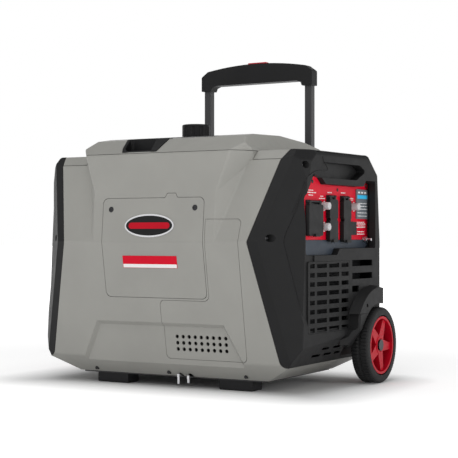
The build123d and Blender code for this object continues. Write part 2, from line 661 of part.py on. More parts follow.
button = block(-24, 24, TUBE_Y - 7.5, TUBE_Y + 5.5, 698, 721.5)
button = fillet(button.edges().group_by(Axis.Z)[-1], 1.5)
save("release_button", button)

# ---------------------------------------------------------------- control panel

plate = prism_x(inset(PANEL, 0.6), PLATE_X, PLATE_X + 2.0, PANEL_R)
plate = plate + block(PLATE_X, PLATE_X + 2, 120, 158, 292.6, 429.4)
plate = plate - block(290, 320, -170, 180, 270, 307.2)
SOCKETS = [("outlet_30a", "cover_30a", -145.0, -81.5, 315.0, 384.0),
           ("outlet_duplex_left", "cover_duplex_left", -51.0, -11.0, 303.5, 396.0),
           ("outlet_duplex_right", "cover_duplex_right", 16.0, 54.0, 302.5, 396.0)]
holes = []
for _, _, y0, y1, z0, z1 in SOCKETS:
    holes.append(block(296, 312, y0 + 6, y1 - 6, z0 + 6, z1 - 15))
PUSH_R = 7.8
PUSHES = [("breaker_button_upper", -65.0, 376.0), ("breaker_button_lower", -65.0, 333.5),
          ("start_button", 79.0, 377.0)]
for _, y, z in PUSHES:
    holes.append(rod("x", 296, 312, y, z, PUSH_R + 0.5))
holes.append(block(296, 312, 64, 84, 321, 341))
for y, z in ((5.3, 410.6), (-112, 424), (148, 424)):
    holes.append(rod("x", 296, 312, y, z, 2.2))
for h in holes:
    plate = plate - h
save("control_plate", plate)

strip = prism_x(inset(PANEL, 0.6), PLATE_X, PLATE_X + 3.0, PANEL_R) & block(296, 320, -170, 180, 270, 306.6)
strip = strip + (block(PLATE_X, PLATE_X + 3, 120, 158, 292.6, 306.6) - strip)
strip = strip - rod("x", 296, 312, 2.8, 281.8, 2.2)
for h in holes:
    strip = strip - h
for _, _, y0, y1, z0, z1 in SOCKETS:
    if z0 < 311:
        strip = strip - block(PLATE_X + 1.9, 345, y0 - 0.5, y1 + 0.5, z0 - 4, z1)
save("control_strip", strip)

LID_AXIS_X = PLATE_X + 7.2


def receptacle(name, y0, y1, z0, z1):
    yc = (y0 + y1) / 2
    front = PLATE_X + 5.0
    body = block(288, PLATE_X + 3, y0 + 6.3, y1 - 6.3, z0 + 6.3, z1 - 15.3)
    body = body + block(PLATE_X + 2.05, front, y0 + 4.5, y1 - 4.5, z0 + 4.5, z1 - 13.5)
    if "30a" in name:
        zc = (z0 + z1) / 2 - 4
        for k in range(4):
            turn = Pos(front, yc, zc) * Rot(90 * k, 0, 0)
            body = body - turn * Pos(-2, 0, 13) * Box(14, 8, 2.2)
        body = body - rod("x", front - 9, front + 1, yc, zc, 3.0)
    else:
        for zc in (z0 + 25, z1 - 34):
            body = body - block(front - 9, front + 1, yc - 7.5, yc - 5.1, zc - 4, zc + 5)
            body = body - block(front - 9, front + 1, yc + 5.1, yc + 7.5, zc - 3, zc + 4)
            body = body - rod("x", front - 9, front + 1, yc, zc - 10, 2.6)
    return body


def cover(name, y0, y1, z0, z1):
    # shallow lid with a pull lip below and two knuckles above
    top = z1 - 6
    face = PLATE_X + 12.0
    lid = block(PLATE_X + 3.4, face, y0, y1, z0, top, 5, Axis.X)
    lid = lid - block(300, face - 2.5, y0 + 2.5, y1 - 2.5, z0 + 2.5, top - 2.5)
    yc = (y0 + y1) / 2
    if "duplex" in name:
        waist = (z0 + top) / 2 + 2
        for y in (y0, y1):
            lid = lid - rod("x", 300, 325, y, waist, 3.5)
    lid = lid + block(face - 3, face + 4, yc - 10, yc + 10, z0 - 1.5, z0 + 4)
    for y in (y0 + 9, y1 - 9):
        lid = lid + block(LID_AXIS_X - 2, LID_AXIS_X + 2.8, y - 4, y + 4, top - 1, z1)
        lid = lid + rod("y", y - 4, y + 4, LID_AXIS_X, z1, 2.8)
    return lid - rod("y", y0, y1, LID_AXIS_X, z1, 1.2 + RUN)


def hinge_mount(y0, y1, z1):
    # ears on the receptacle frame that hold the cover's pin
    part = rod("y", y0 + 2, y1 - 2, LID_AXIS_X, z1, 1.2)
    spans = [(y0 + 2, y0 + 4.6), (y1 - 4.6, y1 - 2), (y0 + 13.4, y1 - 13.4)]
    for a, b in spans:
        part = part + block(PLATE_X + 2.05, LID_AXIS_X, a, b, z1 - 2.4, z1 + 2.4)
        part = part + rod("y", a, b, LID_AXIS_X, z1, 2.4)
    return part


for outlet_name, cover_name, y0, y1, z0, z1 in SOCKETS:
    outlet = receptacle(outlet_name, y0, y1, z0, z1)
    strap = block(PLATE_X + 2.05, PLATE_X + 3.0, y0 + 2, y1 - 2, z1 - 16, z1 + 2.4)
    save(outlet_name, outlet + strap + hinge_mount(y0, y1, z1))
    save(cover_name, cover(cover_name, y0, y1, z0, z1))

for name, y, z in PUSHES:
    push = rod("x", 298, PLATE_X + 19, y, z, PUSH_R)
    push = fillet(push.edges().group_by(Axis.X)[-1], 2.5)
    save(name, push)
display = block(PLATE_X + 2.0, PLATE_X + 4.5, 96, 158, 351.5, 415, 3, Axis.X)
display = display - block(PLATE_X + 3.7, 320, 101, 154, 394.5, 403.5)
save("display_module", display)
port = block(PLATE_X + 2.4, PLATE_X + 9, 60, 87, 317, 345, 3, Axis.X)
port = port - block(PLATE_X + 2, PLATE_X + 7, 62.5, 84.5, 319.5, 342.5)
save("port_cover", port)
ground = rod("x", PLATE_X + 3.05, PLATE_X + 5, 134, 307.5, 6) + rod("x", PLATE_X + 3.05, 328, 134, 307.5, 3)
nut = Pos(PLATE_X + 7, 134, 307.5) * Rot(0, 90, 0) * extrude(RegularPolygon(6, 6), 5)
save("ground_terminal", ground + nut)

# ---------------------------------------------------------------- fuel system

neck = rod("z", 470, 535, CAP_X, CAP_Y, 24) - rod("z", 460, 540, CAP_X, CAP_Y, 20)
neck = neck + (rod("z", 516, 519, CAP_X, CAP_Y, 26.5) - rod("z", 510, 540, CAP_X, CAP_Y, 20))
save("fuel_neck", neck)
cap = rod("z", 536, 562, CAP_X, CAP_Y, 31)
cap = fillet(cap.edges().group_by(Axis.Z)[-1], 3)
for k in range(10):
    a = math.radians(36 * k)
    cap = cap - rod("z", 530, 557, CAP_X + 35 * math.cos(a), CAP_Y + 35 * math.sin(a), 6.5)
cap = cap + rod("z", 530, 536.5, CAP_X, CAP_Y, 30) - rod("z", 520, 552, CAP_X, CAP_Y, 24.4)
save("fuel_cap", cap)
tank = block(-185, 175, -150, 150, 385, 470, 18)
tank = tank - block(-182, 172, -147, 147, 388, 467)
tank = tank - rod("z", 460, 475, CAP_X, CAP_Y, 24)
tank = tank + (rod("z", 466, 470, CAP_X, CAP_Y, 30) - rod("z", 460, 475, CAP_X, CAP_Y, 24.0))
save("fuel_tank", tank)

# ---------------------------------------------------------------- engine and generator

crankcase = block(-70, 62, -40, 100, 92, 262, 8, Axis.X)
crankcase = crankcase - block(-64, 56, -34, 94, 98, 256)
crankcase = crankcase - rod("x", -90, 90, CRANK_Y, CRANK_Z, 12 + RUN)
for y0, y1 in ((-73, -35), (84, 100)):
    crankcase = crankcase + block(-70, 62, y0, y1, 84, 92)
for y in (-60, 90):
    for x in (-64, 52):
        crankcase = crankcase + block(x - 8, x + 8, y - 10, y + 10, 48, 96)
    for side in (-1, 1):
        crankcase = crankcase + block(side * 48, side * 80, y - 12, y + 12, 48, 56)
crankcase = crankcase + block(-72, 60, -72, -38, 88, 96)
save("crankcase", crankcase)

head = block(-38, 38, -128, -40, 150, 232, 4, Axis.Y)
for i in range(7):
    y = -60 - 10 * i
    head = head + block(-52, 52, y - 1.5, y + 1.5, 138, 246)
head = head + block(-34, 34, -150, -120, 160, 222, 6, Axis.Y)
head = head + rod("x", 30, 74, -100, 205, 8)
save("cylinder_head", head)

crank = rod("x", -112, 186, CRANK_Y, CRANK_Z, 12) + rod("x", 114, 174, CRANK_Y, CRANK_Z, 33)
crank = crank + rod("x", -30, -14, CRANK_Y, CRANK_Z, 48) + rod("x", 4, 20, CRANK_Y, CRANK_Z, 48)
save("crankshaft", crank)
flywheel = rod("x", 70, 84, CRANK_Y, CRANK_Z, 80)
for k in range(16):
    a = 22.5 * k
    fan_blade = Pos(14, 0, 62) * Rot(0, 0, 25) * Box(16, 2.5, 30)
    flywheel = flywheel + Pos(76, CRANK_Y, CRANK_Z) * Rot(a, 0, 0) * fan_blade
flywheel = flywheel + rod("x", 84, 100, CRANK_Y, CRANK_Z, 24) - rod("x", 60, 120, CRANK_Y, CRANK_Z, 12)
save("flywheel", flywheel)
stator = rod("x", 112, 176, CRANK_Y, CRANK_Z, 84) - rod("x", 100, 190, CRANK_Y, CRANK_Z, 66)
for k in range(12):
    a = 30 * k
    stator = stator + Pos(144, CRANK_Y, CRANK_Z) * Rot(a, 0, 0) * Pos(0, 0, 52) * Box(50, 12, 30)
stator = stator + block(112, 176, CRANK_Y - 40, CRANK_Y + 40, 36, 94)
stator = stator - rod("x", 100, 190, CRANK_Y, CRANK_Z, 34)
save("stator", stator)
recoil = rod("x", -150, -122, CRANK_Y, CRANK_Z, 78) - rod("x", -146, -110, CRANK_Y, CRANK_Z, 74)
for k in range(3):
    a = 120 * k
    recoil = recoil + Pos(-96.5, CRANK_Y, CRANK_Z) * Rot(a, 0, 0) * Pos(0, 0, 70) * Box(53, 12, 8)
save("recoil_starter", recoil)

carb = block(-20, 20, -186, -151, 240, 276) + block(-12, 12, -182, -156, 222, 240)
carb = carb + rod("y", -156, -128, 0, 236, 10)
save("carburettor", carb)
filter_box = block(-105, 70, -200, -152, 277, 348, 8, Axis.Y)
filter_box = filter_box - block(-102, 67, -197, -155, 280, 345)
filter_box = filter_box & centre_form(14)
save("air_filter_box", filter_box)

muffler = block(-262, -168, -90, 70, 150, 330, 16, Axis.X)
muffler = muffler - block(-259, -171, -87, 67, 153, 327)
muffler = muffler + rod("x", -318, -258, -18, 252, 18) - rod("x", -330, -255, -18, 252, 15)
muffler = muffler + block(-235, -195, -3, 3, 36, 151) + rod("x", -170, -52, -70, 190, 11)
save("muffler", muffler)
deflector = rod("x", -334, -316, -18, 252, 23) - rod("x", -340, -310, -18, 252, 18.2)
save("exhaust_deflector", deflector)
inverter = block(196, 236, -110, 110, 110, 280)
for i in range(11):
    y = -100 + 20 * i
    inverter = inverter + block(236, 256, y - 1.5, y + 1.5, 114, 276)
inverter = inverter - block(199, 233, -107, 107, 113, 277)
inverter = inverter + block(200, 212, -50, 50, 36, 111)
save("inverter_module", inverter)

drains = None
for x, z1 in ((26.0, 29.0), (50.0, 27.0)):
    tube = rod("y", -162, -149, x, z1 - 3, 3.0) + block(x - 3.2, x + 3.2, -168.2, -161.8, z1 - 6.2, z1 + 0.2, 2)
    tube = tube + rod("z", 9 if x < 30 else 12, z1 - 6, x, -165, 3.0)
    drains = tube if drains is None else drains + tube
save("drain_tubes", drains)
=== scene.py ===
import math
import random

import bmesh
import bpy
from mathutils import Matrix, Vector


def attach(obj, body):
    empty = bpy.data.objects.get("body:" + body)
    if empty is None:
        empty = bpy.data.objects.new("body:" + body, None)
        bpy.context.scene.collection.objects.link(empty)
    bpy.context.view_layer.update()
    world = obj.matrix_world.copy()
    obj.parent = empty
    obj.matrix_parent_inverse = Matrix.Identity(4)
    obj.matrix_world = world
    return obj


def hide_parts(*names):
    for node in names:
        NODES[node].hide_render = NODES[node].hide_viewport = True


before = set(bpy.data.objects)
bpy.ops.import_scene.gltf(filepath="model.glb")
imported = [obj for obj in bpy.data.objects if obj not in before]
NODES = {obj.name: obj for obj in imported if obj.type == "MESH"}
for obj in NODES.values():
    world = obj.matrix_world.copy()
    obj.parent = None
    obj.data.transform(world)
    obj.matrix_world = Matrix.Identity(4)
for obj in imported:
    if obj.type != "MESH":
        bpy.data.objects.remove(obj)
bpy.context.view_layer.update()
MM = 0.001
SHIFT_Y = -4.5            # the case's own middle plane sits this far forward of Y = 0, in millimetres
random.seed(7)


def at(x, y, z):
    # a point given in the case's own millimetres, in metres of the shared frame
    return Vector((x * MM, (y + SHIFT_Y) * MM, z * MM))


# ---------------------------------------------------------------- materials


def map_range(tree, source, taken, given):
    # turns the span "taken" of a value into the span "given"
    node = tree.nodes.new("ShaderNodeMapRange")
    for key, (low, high) in (("From", taken), ("To", given)):
        node.inputs[key + " Min"].default_value = low
        node.inputs[key + " Max"].default_value = high
    tree.links.new(source, node.inputs["Value"])
    return node.outputs["Result"]


class Nodes:
    # small helper around one material's node tree

    def __init__(self, name):
        self.mat = bpy.data.materials.new(name)
        self.mat.use_nodes = True
        self.tree = self.mat.node_tree
        self.bsdf = self.tree.nodes["Principled BSDF"]
        coords = self.tree.nodes.new("ShaderNodeTexCoord")
        self.where = coords.outputs["Object"]

    def add(self, kind, **values):
        node = self.tree.nodes.new(kind)
        for key, value in values.items():
            setattr(node, key, value)
        return node

    def link(self, a, b):
        self.tree.links.new(a, b)

    def noise(self, scale, detail=3.0, rough=0.55, stretch=None):
        tex = self.add("ShaderNodeTexNoise")
        tex.inputs["Scale"].default_value = scale
        tex.inputs["Detail"].default_value = detail
        tex.inputs["Roughness"].default_value = rough
        source = self.where
        if stretch:
            mapping = self.add("ShaderNodeMapping")
            mapping.inputs["Scale"].default_value = stretch
            self.link(self.where, mapping.inputs["Vector"])
            source = mapping.outputs["Vector"]
        self.link(source, tex.inputs["Vector"])
        return tex.outputs["Fac"]

    def ramp(self, fac, low, high):
        node = self.add("ShaderNodeValToRGB")
        for stop, place, colour in zip(node.color_ramp.elements, (0.35, 0.65), (low, high)):
            stop.position = place
            stop.color = (*colour, 1)
        self.link(fac, node.inputs["Fac"])
        return node.outputs["Color"]

    def spread(self, fac, low, high):
        return map_range(self.tree, fac, (0.3, 0.7), (low, high))

    def bump(self, fac, strength, distance, under=None):
        node = self.add("ShaderNodeBump")
        node.inputs["Strength"].default_value = strength
        node.inputs["Distance"].default_value = distance
        self.link(fac, node.inputs["Height"])
        if under is not None:
            self.link(under, node.inputs["Normal"])
        return node.outputs["Normal"]


def moulded(name, colour, rough, grain=2600.0, depth=0.00005, vary=0.05, coat=0.0, shine=0.10):
    # moulded or painted surface: faint colour drift, uneven gloss and a fine pebbled grain
    n = Nodes(name)
    low = [c * (1 - vary) for c in colour]
    high = [min(1.0, c * (1 + vary)) for c in colour]
    n.link(n.ramp(n.noise(9.0, 4.0), low, high), n.bsdf.inputs["Base Color"])
    n.link(n.spread(n.noise(60.0, 3.0), rough - 0.04, rough + 0.05), n.bsdf.inputs["Roughness"])
    n.bsdf.inputs["Specular IOR Level"].default_value = shine
    n.bsdf.inputs["Coat Weight"].default_value = coat
    n.bsdf.inputs["Coat Roughness"].default_value = 0.12
    fine = n.bump(n.noise(grain, 2.0), 0.35, depth)
    n.link(n.bump(n.noise(140.0, 2.0), 0.10, depth * 4, fine), n.bsdf.inputs["Normal"])
    return n.mat


def brushed(name, colour, rough, stretch=(1.0, 30.0, 30.0), metal=1.0):
    # drawn or brushed metal with fine lines along one axis
    n = Nodes(name)
    lines = n.noise(500.0, 3.0, 0.6, stretch)
    low = [c * 0.86 for c in colour]
    n.link(n.ramp(lines, low, colour), n.bsdf.inputs["Base Color"])
    n.link(n.spread(lines, rough - 0.06, rough + 0.08), n.bsdf.inputs["Roughness"])
    n.bsdf.inputs["Metallic"].default_value = metal
    n.link(n.bump(lines, 0.15, 0.00004), n.bsdf.inputs["Normal"])
    return n.mat


def cast(name, colour, rough):
    # sand cast metal
    n = Nodes(name)
    n.link(n.ramp(n.noise(25.0, 5.0), [c * 0.8 for c in colour], colour), n.bsdf.inputs["Base Color"])
    n.link(n.spread(n.noise(200.0), rough - 0.08, rough + 0.1), n.bsdf.inputs["Roughness"])
    n.bsdf.inputs["Metallic"].default_value = 0.9
    n.link(n.bump(n.noise(900.0, 4.0), 0.5, 0.0002), n.bsdf.inputs["Normal"])
    return n.mat


def rubbery(name, colour, rough):
    n = Nodes(name)
    n.link(n.ramp(n.noise(30.0, 4.0), [c * 0.85 for c in colour], [c * 1.2 for c in colour]),
           n.bsdf.inputs["Base Color"])
    n.link(n.spread(n.noise(120.0), rough - 0.05, rough + 0.08), n.bsdf.inputs["Roughness"])
    n.bsdf.inputs["Specular IOR Level"].default_value = 0.25
    n.link(n.bump(n.noise(1500.0, 3.0), 0.4, 0.00008), n.bsdf.inputs["Normal"])
    return n.mat


def lit_screen(name):
    # small backlit display with faint horizontal segments
    n = Nodes(name)
    wave = n.add("ShaderNodeTexWave")
    wave.bands_direction = "Z"
    wave.inputs["Scale"].default_value = 160.0
    wave.inputs["Distortion"].default_value = 0.0
    n.link(n.where, wave.inputs["Vector"])
    n.link(n.ramp(wave.outputs["Fac"], (0.02, 0.22, 0.42), (0.05, 0.42, 0.62)), n.bsdf.inputs["Base Color"])
    n.bsdf.inputs["Emission Color"].default_value = (0.05, 0.45, 0.75, 1)
    n.bsdf.inputs["Emission Strength"].default_value = 0.35
    n.bsdf.inputs["Roughness"].default_value = 0.15
    return n.mat


GREY = moulded("grey_case", (0.264, 0.261, 0.242), 0.40, grain=3200.0, depth=0.00002, vary=0.03, coat=0.06,
               shine=0.35)
BLACK = moulded("black_case", (0.015, 0.015, 0.0154), 0.46, grain=2200.0, depth=0.00004, vary=0.08)
BLACK_FINE = moulded("black_fine", (0.013, 0.013, 0.0135), 0.44, grain=3000.0, depth=0.00003, vary=0.08)
# very dark black for the inner parts, also used for the painted shade sheets behind the vents
INNER_AND_SHADE_BLACK = moulded("inner_black_and_shade_sheet", (0.008, 0.008, 0.009), 0.6, vary=0.08)
RED = moulded("red_moulding", (0.42, 0.003, 0.014), 0.40, coat=0.03, vary=0.05)
RED_PANEL = moulded("red_panel", (0.56, 0.003, 0.020), 0.45, grain=3200.0, depth=0.00002, vary=0.03)
STRIP = moulded("blue_grey_strip", (0.040, 0.050, 0.066), 0.42, vary=0.05)
SILVER = brushed("silver_badge", (0.80, 0.80, 0.82), 0.24)
STEEL = brushed("plated_steel", (0.62, 0.62, 0.64), 0.28)
DARK_STEEL = brushed("coated_tube", (0.030, 0.030, 0.032), 0.36, (30.0, 30.0, 1.0), metal=0.4)
ALU = cast("cast_aluminium", (0.55, 0.55, 0.57), 0.42)
IRON = cast("cast_iron", (0.16, 0.16, 0.17), 0.5)
RUBBER = rubbery("rubber", (0.011, 0.011, 0.012), 0.60)
TYRE = rubbery("tyre_rubber", (0.010, 0.010, 0.0105), 0.62)
TANK = moulded("tank_plastic", (0.42, 0.42, 0.38), 0.5)
SOCKET = moulded("socket_plastic", (0.020, 0.020, 0.022), 0.35)
PALE = moulded("pale_cap", (0.46, 0.45, 0.46), 0.22, vary=0.04, coat=0.3)
PANEL_GREY = moulded("display_grey", (0.13, 0.145, 0.16), 0.36, vary=0.04)
WHITE = moulded("white_print", (0.74, 0.74, 0.74), 0.45, vary=0.02)
SCREEN = lit_screen("lit_display")
SCREW = brushed("dark_screw", (0.055, 0.055, 0.058), 0.38)

FINISH = {
    "front_shell": GREY, "rear_shell": GREY, "top_cover": GREY, "service_door": GREY, "vent_panel": GREY,
    "left_end_cap": BLACK, "right_end_cap": BLACK, "fender_left": BLACK, "fender_right": BLACK,
    "top_tray": BLACK_FINE, "right_grille": BLACK, "left_louvre": BLACK, "base_tray": DARK_STEEL,
    "control_plate": RED_PANEL, "control_strip": STRIP, "badge_plate": SILVER, "label_strip": RED_PANEL,
    "rim_left": RED, "rim_right": RED, "release_button": RED, "start_button": PALE,
    "tyre_left": TYRE, "tyre_right": TYRE, "foot_left": RUBBER, "foot_right": RUBBER,
    "door_latch_left": SCREW, "door_latch_right": SCREW, "axle": STEEL, "axle_washers": SCREW,
    "drain_tubes": STEEL, "exhaust_deflector": STEEL, "muffler": STEEL,
    "handle_frame": DARK_STEEL, "rail_left": BLACK, "rail_right": BLACK, "grip_lower": BLACK_FINE,
    "grip_upper": BLACK_FINE, "fuel_cap": BLACK_FINE, "fuel_neck": TANK, "fuel_tank": TANK,
    "crankcase": ALU, "cylinder_head": ALU, "carburettor": ALU, "inverter_module": ALU,
    "crankshaft": IRON, "flywheel": IRON, "stator": IRON, "recoil_starter": INNER_AND_SHADE_BLACK,
    "air_filter_box": INNER_AND_SHADE_BLACK, "cover_30a": BLACK_FINE, "cover_duplex_left": BLACK_FINE,
    "cover_duplex_right": BLACK_FINE, "port_cover": RUBBER, "outlet_30a": SOCKET,
    "outlet_duplex_left": SOCKET, "outlet_duplex_right": SOCKET, "breaker_button_upper": PALE,
    "breaker_button_lower": PALE, "display_module": PANEL_GREY, "ground_terminal": STEEL,
}

# width of the rounded edges in millimetres, where it isn't the usual one
SOFT_EDGE = {"grip_lower": 2.5, "grip_upper": 3.0, "release_button": 1.2, "fuel_cap": 1.0, "cover_30a": 1.6,
             "cover_duplex_left": 1.6, "cover_duplex_right": 1.6, "rim_left": 1.6, "rim_right": 1.6,
             "fender_left": 3.0, "fender_right": 3.0, "front_shell": 0.8, "rear_shell": 0.8,
             "top_cover": 0.6, "left_end_cap": 1.4, "right_end_cap": 1.4, "top_tray": 1.0,
             "right_grille": 0.7, "left_louvre": 0.7}
USUAL_EDGE = 0.5


def paint(obj, mat):
    obj.data.materials.clear()
    obj.data.materials.append(mat)


def soften(obj, width_mm):
    # rounds the sharp edges without moving the shape
    mod = obj.modifiers.new("edge", "BEVEL")
    mod.width = width_mm * MM
    mod.segments = 3
    mod.limit_method = "ANGLE"
    mod.angle_limit = math.radians(32)
    mod.harden_normals = True
    mod.miter_outer = "MITER_ARC"


for name, obj in NODES.items():
    paint(obj, FINISH.get(name, BLACK))
    soften(obj, SOFT_EDGE.get(name, USUAL_EDGE))

# ---------------------------------------------------------------- details

PLATE_FACE = 308.0        # outer face of the red plate
DISPLAY_FACE = PLATE_FACE + 2.5      # outer face of the display's grey housing
AXLE = (127.0, 81.4)      # wheel centre, Y and Z
TYRE_MIDDLE = 337.5       # X of the middle of each tyre
TYRE_POINTS = 264         # points round a tyre
SHADE_SHEET_FACE = 300.2          # X of the inner face of the painted shade sheets in the end vents
SHADE_SHEET_DEPTH = 1.0
PLEAT = 1.4               # how far every second pleat stands out
WELL_TOP = 180            # Z below which the wheel well takes up the rear of the vent
FOLD_Y = -229             # line where the upper and lower faces of the service door meet
FOLD_Z = 303
UPPER_LEAN = (16, 182)    # each face's run back over its height
LOWER_LEAN = (39, 243)


def mesh_piece(name, bm, mat, body, smooth=False):
    mesh = bpy.data.meshes.new(name)
    bmesh.ops.recalc_face_normals(bm, faces=bm.faces)
    bm.to_mesh(mesh)
    bm.free()
    obj = bpy.data.objects.new(name, mesh)
    bpy.context.scene.collection.objects.link(obj)
    obj.data.materials.append(mat)
    for poly in mesh.polygons:
        poly.use_smooth = smooth
    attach(obj, body)
    return obj


def add_box(bm, x0, x1, y0, y1, z0, z1):
    corners = [bm.verts.new(at(x, y, z)) for x in (x0, x1) for y in (y0, y1) for z in (z0, z1)]
    for quad in ((0, 1, 3, 2), (4, 6, 7, 5), (0, 4, 5, 1), (2, 3, 7, 6), (0, 2, 6, 4), (1, 5, 7, 3)):
        bm.faces.new([corners[i] for i in quad])


def add_rings(bm, centre, normal, side, profile, count, wave=None):
    # one ring of points per (radius, height) pair; wave(i, j) is added to the radius of point i on ring j
    other = normal.cross(side)
    middle = at(*centre)
    rings = []
    for j, (radius, height) in enumerate(profile):
        ring = []
        for i in range(count):
            r = radius + (wave(i, j) if wave else 0.0)
            angle = 2 * math.pi * i / count
            spoke = side * math.cos(angle) + other * math.sin(angle)
            ring.append(bm.verts.new(middle + spoke * (r * MM) + normal * (height * MM)))
        rings.append(ring)
    return rings


def join_rings(bm, rings):
    for low, high in zip(rings, rings[1:]):
        for i in range(len(low)):
            k = (i + 1) % len(low)
            bm.faces.new((low[i], low[k], high[k], high[i]))


def add_lathe(bm, centre, direction, profile, count):
    # turned solid with flat ends
    normal = Vector(direction).normalized()
    rings = add_rings(bm, centre, normal, normal.orthogonal().normalized(), profile, count)
    join_rings(bm, rings)
    bm.faces.new(rings[0])
    bm.faces.new(rings[-1])


def add_slab(bm, centre, axes, outline, low, high):
    # flat piece with the given outline, between two heights over a plane
    right, up, normal = axes
    rings = []
    for level in (low, high):
        rings.append([bm.verts.new(at(*centre) + right * (u * MM) + up * (v * MM) + normal * (level * MM))
                      for u, v in outline])
    join_rings(bm, rings)
    bm.faces.new(rings[0])
    bm.faces.new(rings[1])


def screw(name, centre, direction, radius):
    # pan head with a round-bottomed drive recess
    rise = radius * 0.55
    profile = [(radius, -0.5), (radius, rise * 0.35), (radius * 0.86, rise * 0.8), (radius * 0.6, rise),
               (radius * 0.42, rise), (radius * 0.38, rise * 0.2), (radius * 0.1, 0.05)]
    bm = bmesh.new()
    add_lathe(bm, centre, direction, profile, 24)
    mesh_piece(name, bm, SCREW, "chassis", True)


def screws():
    for s, side in ((1, "right"), (-1, "left")):
        screw(f"cap_screw_{side}_upper", (s * 298.5, -145, 456.5), (s, 0, 0), 6.0)
        screw(f"cap_screw_{side}_lower", (s * 251.5, -204, 310.5), (s, 0, 0), 6.0)
        screw(f"fender_screw_{side}", (s * 345.4, 64.5, 169), (s, 0, 0), 3.2)
    for i, x in enumerate((-184, 0, 184)):
        screw(f"band_screw_{i}", (x, -163.0, 31), (0, -1, 0.2), 3.4)
    for i, (y, z) in enumerate(((5.3, 410.6), (-112, 424), (148, 424))):
        screw(f"plate_screw_{i}", (PLATE_FACE - 0.4, y, z), (1, 0, 0), 3.6)
    screw("strip_screw", (PLATE_FACE + 0.6, 2.8, 281.8), (1, 0, 0), 3.6)


def add_bars(bm, face, rise, start, last_start, end, gap, z0, z1, lengths):
    # a row of short bars of drawn lengths; none begins after last_start or goes past end
    y = start
    while y < last_start:
        step = random.choice(lengths)
        add_box(bm, face, face + rise, y, min(y + step, end), z0, z1)
        y += step + gap


def printed_bars():
    # short blank bars where the panel carries small print: Y from and to, Z from and to
    lines = [(-130, -108, 405.7, 407.2), (-140, -95, 400.9, 402.8), (-129, -108, 395.8, 397.5),
             (-75, -62, 394.9, 396.3), (-81, -54, 390.2, 392.0), (-42, -20, 403.0, 405.0),
             (23, 44, 404.2, 406.0), (67, 84, 394.2, 395.6), (72, 84, 390.6, 392.1),
             (103, 141, 343.6, 345.2), (99, 147, 339.8, 341.8), (108, 145, 336.0, 337.4),
             (99, 147, 332.8, 334.6), (106, 142, 323.2, 325.2), (104, 142, 318.0, 319.8)]
    bm = bmesh.new()
    for y0, y1, z0, z1 in lines:
        add_bars(bm, PLATE_FACE, rise=0.12, start=y0, last_start=y1 - 1, end=y1, gap=1.3, z0=z0, z1=z1,
                 lengths=(3.0, 5.0, 7.0, 9.0))
    mesh_piece("panel_print", bm, WHITE, "chassis")


def bracket_marks():
    # white square brackets printed around the three push caps
    half_height, stroke, rise = 10, 2, 0.15
    bm = bmesh.new()
    for y, z in ((-65, 376), (-65, 333.5), (79, 377)):
        for s in (-1, 1):
            outer, inner, reach = y + s * 12.5, y + s * 9.5, y + s * 5
            add_box(bm, PLATE_FACE, PLATE_FACE + rise, min(outer, inner), max(outer, inner),
                    z - half_height, z + half_height)
            for level in (z - half_height, z + half_height - stroke):
                add_box(bm, PLATE_FACE, PLATE_FACE + rise, min(outer, reach), max(outer, reach),
                        level, level + stroke)
    mesh_piece("push_marks", bm, WHITE, "chassis")


def display_face():
    bm = bmesh.new()
    add_box(bm, PLATE_FACE + 1.75, PLATE_FACE + 2.1, 101.5, 153.5, 395.0, 403.0)
    mesh_piece("display_screen", bm, SCREEN, "chassis")
    rise = 0.1
    bm = bmesh.new()
    for z in (372, 378, 384, 364, 357):
        add_bars(bm, DISPLAY_FACE, rise, start=102.0, last_start=148, end=151, gap=1.6, z0=z, z1=z + 1.6,
                 lengths=(4.0, 7.0, 11.0))
    for y in (104, 120, 136):
        add_box(bm, DISPLAY_FACE, DISPLAY_FACE + rise, y, y + 10, 406.5, 410.0)
    mesh_piece("display_print", bm, WHITE, "chassis")


def vent_backing():
    # painted shade: dark sheets behind the vents stand in for the shade inside the case, pleated so they
    # catch a little light
    bm = bmesh.new()
    pitch = 3.2
    for i in range(44):
        z = 122 + i * pitch
        rear = 134 if z > WELL_TOP else 34
        add_box(bm, SHADE_SHEET_FACE, SHADE_SHEET_FACE + SHADE_SHEET_DEPTH + (i % 2) * PLEAT, -138, rear, z, z + pitch)
    for i in range(10):
        x = 28 + i * 15
        add_box(bm, x, x + 13, -172.0, -170.6 + (i % 2) * 0.8, 74, 118)
    mesh_piece("vent_shade_sheets", bm, INNER_AND_SHADE_BLACK, "chassis")
    bm = bmesh.new()
    pitch = 3.5
    for i in range(70):
        z = 154 + i * pitch
        add_box(bm, -SHADE_SHEET_FACE - SHADE_SHEET_DEPTH - (i % 2) * PLEAT, -SHADE_SHEET_FACE, -114, 54, z, z + pitch)
    mesh_piece("louvre_shade_sheet", bm, INNER_AND_SHADE_BLACK, "chassis")


def badge_inlay():
    # generic oval on the door's upper face: dark enamel inside the silver rim and one plain red band
    x, z, out = -6.5, 336, 1.8
    run, height = UPPER_LEAN
    lean = math.atan2(run, height)
    normal = Vector((0, -math.cos(lean), math.sin(lean)))
    up = Vector((0, normal.z, -normal.y))
    axes = (Vector((1, 0, 0)), up, normal)
    centre = (x, FOLD_Y + (z - FOLD_Z) * run / height + normal.y * out, z + normal.z * out)

    oval = []
    for i in range(72):
        t = 2 * math.pi * i / 72
        oval.append((56.5 * math.cos(t), 20.5 * math.sin(t)))
    bm = bmesh.new()
    add_slab(bm, centre, axes, oval, -0.3, 0.10)
    mesh_piece("badge_enamel", bm, BLACK_FINE, "door")

    # the band has round ends
    half_width, half_height = 50, 6.5
    band = []
    for i in range(40):
        t = 2 * math.pi * i / 40
        end = math.copysign(half_width - half_height, math.cos(t))
        band.append((end + half_height * math.cos(t), half_height * math.sin(t)))
    bm = bmesh.new()
    add_slab(bm, centre, axes, band, 0.10, 0.22)
    mesh_piece("badge_band", bm, RED, "door")


